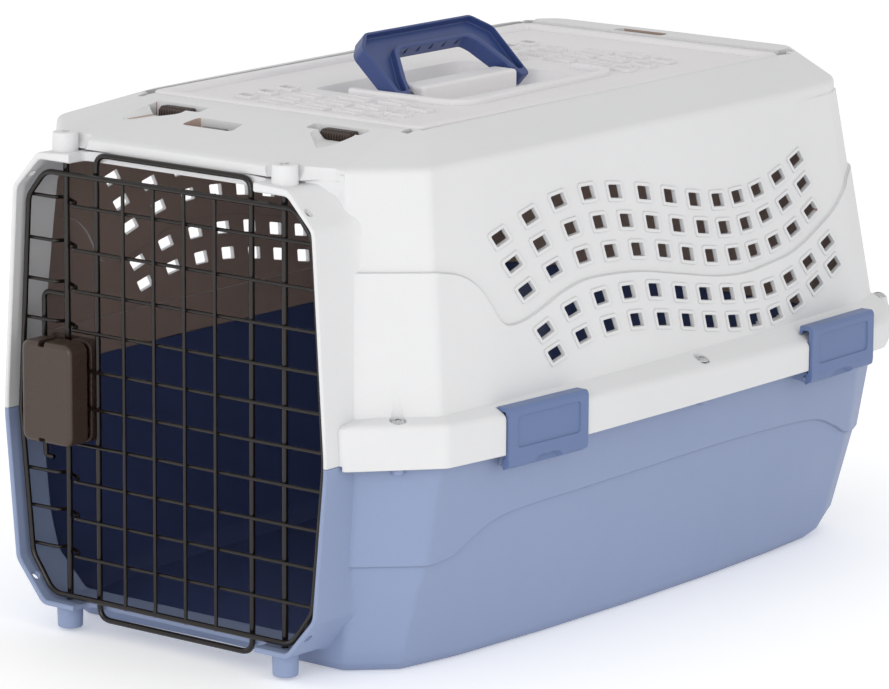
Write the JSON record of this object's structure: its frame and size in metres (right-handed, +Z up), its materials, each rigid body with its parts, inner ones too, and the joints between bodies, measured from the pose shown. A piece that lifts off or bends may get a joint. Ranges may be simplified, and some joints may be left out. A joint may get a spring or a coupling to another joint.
{
  "type": "pet transport carrier",
  "caption": "Hard-shell pet carrier: vented upper and lower shells held by side clips and screws, wire front door with a two-rod latch, roof door and folding handle.",
  "frame": {"origin": "on the floor, under the middle of the overall box", "axes": "-Y is the front, with the wire door; +Y runs to the closed rear; +X is the side with the front door hinge; +Z is up"},
  "size_m": [0.3878, 0.596, 0.3683],
  "materials": {
    "shell_light": "fine-grained moulded light grey",
    "shell_blue": "fine-grained moulded grey blue",
    "clip_blue": "satin moulded blue",
    "handle_blue": "satin moulded dark blue",
    "wire_bronze": "dark bronze-brown coated steel wire, satin",
    "latch_brown": "satin dark brown moulded",
    "zinc": "bright zinc plated"
  },
  "bodies": {
    "shell": {"bottom_shell": "shell_blue", "top_shell": "shell_light", "side_clip_pin_right_front": "zinc", "side_clip_pin_right_rear": "zinc", "rim_screw_right_1": "zinc", "rim_screw_right_2": "zinc", "rim_screw_right_3": "zinc", "side_clip_pin_left_front": "zinc", "side_clip_pin_left_rear": "zinc", "rim_screw_left_1": "zinc", "rim_screw_left_2": "zinc", "rim_screw_left_3": "zinc"},
    "front_door": {"front_door_grille": "wire_bronze", "front_latch_housing": "latch_brown", "front_latch_plate": "latch_brown", "front_latch_spring": "zinc", "front_latch_screw_1": "zinc", "front_latch_screw_2": "zinc", "front_latch_screw_3": "zinc"},
    "latch_upper": {"front_latch_rod_upper": "wire_bronze"},
    "latch_lower": {"front_latch_rod_lower": "wire_bronze"},
    "top_hinge_bar": {"top_door_rod_left": "wire_bronze"},
    "roof_door": {"top_door": "shell_light", "top_door_rod_right": "wire_bronze", "handle_pin_front": "zinc", "handle_pin_rear": "zinc"},
    "handle": {"carry_handle": "handle_blue"},
    "roof_latch_front": {"top_latch_slide_front": "latch_brown"},
    "roof_latch_rear": {"top_latch_slide_rear": "latch_brown"},
    "clip_right_front": {"side_clip_right_front": "clip_blue"},
    "clip_right_rear": {"side_clip_right_rear": "clip_blue"},
    "clip_left_front": {"side_clip_left_front": "clip_blue"},
    "clip_left_rear": {"side_clip_left_rear": "clip_blue"}
  },
  "joints": [
    {"name": "front_door_hinge", "type": "hinge", "parent": "shell", "child": "front_door", "pos_m": [0.0904, -0.2773, 0.16], "axis": [0, 0, 1], "range_deg": [0, 112]},
    {"name": "front_latch_upper", "type": "slide", "parent": "front_door", "child": "latch_upper", "axis": [0, 0, -1], "range_m": [0, 0.013], "stiffness_N_per_m": 350, "springref_m": -0.006, "deforming": ["front_latch_spring"]},
    {"name": "front_latch_lower", "type": "slide", "parent": "front_door", "child": "latch_lower", "axis": [0, 0, 1], "range_m": [0, 0.013]},
    {"name": "top_door_right_hinge", "type": "hinge", "parent": "shell", "child": "top_hinge_bar", "pos_m": [0.109, 0.025, 0.3296], "axis": [0, 1, 0], "range_deg": [0, 100]},
    {"name": "top_door_left_hinge", "type": "hinge", "parent": "top_hinge_bar", "child": "roof_door", "pos_m": [-0.109, 0.025, 0.3296], "axis": [0, 1, 0], "range_deg": [-100, 0]},
    {"name": "handle_pivot", "type": "hinge", "parent": "roof_door", "child": "handle", "pos_m": [0.012, -0.007, 0.3295], "axis": [0, 1, 0], "range_deg": [-42, 45]},
    {"name": "roof_latch_front_slide", "type": "slide", "parent": "shell", "child": "roof_latch_front", "axis": [1, 0, 0], "range_m": [-0.008, 0.008]},
    {"name": "roof_latch_rear_slide", "type": "slide", "parent": "shell", "child": "roof_latch_rear", "axis": [1, 0, 0], "range_m": [-0.008, 0.008]},
    {"name": "clip_right_front_pivot", "type": "hinge", "parent": "shell", "child": "clip_right_front", "pos_m": [0.18102, -0.13958, 0.1306], "axis": [0.058, 0.9983, 0], "range_deg": [0, 110]},
    {"name": "clip_right_rear_pivot", "type": "hinge", "parent": "shell", "child": "clip_right_rear", "pos_m": [0.18386, 0.18184, 0.1306], "axis": [-0.0217, 0.9998, 0], "range_deg": [0, 110]},
    {"name": "clip_left_front_pivot", "type": "hinge", "parent": "shell", "child": "clip_left_front", "pos_m": [-0.18102, -0.13958, 0.1306], "axis": [0.058, -0.9983, 0], "range_deg": [0, 110]},
    {"name": "clip_left_rear_pivot", "type": "hinge", "parent": "shell", "child": "clip_left_rear", "pos_m": [-0.18386, 0.18184, 0.1306], "axis": [-0.0217, -0.9998, 0], "range_deg": [0, 110]}
  ],
  "couplings": [
    {"joint": "front_latch_lower", "follows": "front_latch_upper", "ratio": 1}
  ]
}
